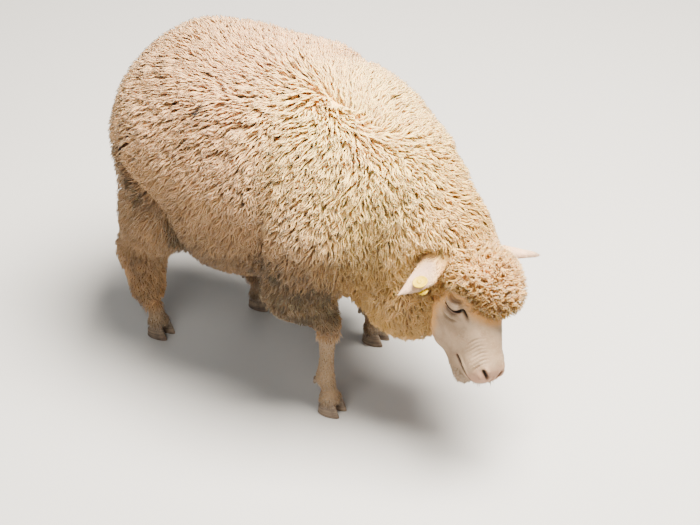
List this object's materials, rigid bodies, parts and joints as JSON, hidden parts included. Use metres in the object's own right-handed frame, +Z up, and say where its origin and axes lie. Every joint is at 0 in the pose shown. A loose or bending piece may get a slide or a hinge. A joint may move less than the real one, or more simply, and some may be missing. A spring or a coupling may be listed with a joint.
{
  "type": "sheep",
  "caption": "Life-size still model of a grazing ewe in full fleece, head lowered and turned to the right, standing on all four feet, with a plain yellow tag in the right ear.",
  "frame": {"origin": "on the floor, below the middle of the animal's bounding box", "axes": "+X from rump to chest, +Y to the animal's left, +Z up"},
  "size_m": [0.9932, 0.5006, 0.7326],
  "materials": {
    "wool_body": "cream to fawn curled wool locks, browner low down",
    "wool_head": "golden fawn curled wool locks",
    "skin": "short white hair over pink skin",
    "horn": "grey-brown horn, satin",
    "eye": "wet dark amber",
    "tag": "plain yellow, satin"
  },
  "bodies": {
    "root": {"trunk": "wool_body", "neck": "wool_head", "tail": "wool_body", "head": "wool_head", "face": "skin", "lower_jaw": "skin", "eye_left": "eye", "ear_left": "skin", "eye_right": "eye", "ear_right": "skin", "ear_tag_outer": "tag", "ear_tag_inner": "tag", "fore_leg_left": "wool_body", "fore_leg_left_lower": "skin", "fore_leg_left_claw_outer": "horn", "fore_leg_left_dewclaw_outer": "horn", "fore_leg_left_claw_inner": "horn", "fore_leg_left_dewclaw_inner": "horn", "fore_leg_right": "wool_body", "fore_leg_right_lower": "skin", "fore_leg_right_claw_inner": "horn", "fore_leg_right_dewclaw_inner": "horn", "fore_leg_right_claw_outer": "horn", "fore_leg_right_dewclaw_outer": "horn", "hind_leg_left": "wool_body", "hind_leg_left_lower": "skin", "hind_leg_left_claw_outer": "horn", "hind_leg_left_dewclaw_outer": "horn", "hind_leg_left_claw_inner": "horn", "hind_leg_left_dewclaw_inner": "horn", "hind_leg_right": "wool_body", "hind_leg_right_lower": "skin", "hind_leg_right_claw_inner": "horn", "hind_leg_right_dewclaw_inner": "horn", "hind_leg_right_claw_outer": "horn", "hind_leg_right_dewclaw_outer": "horn"}
  },
  "joints": []
}
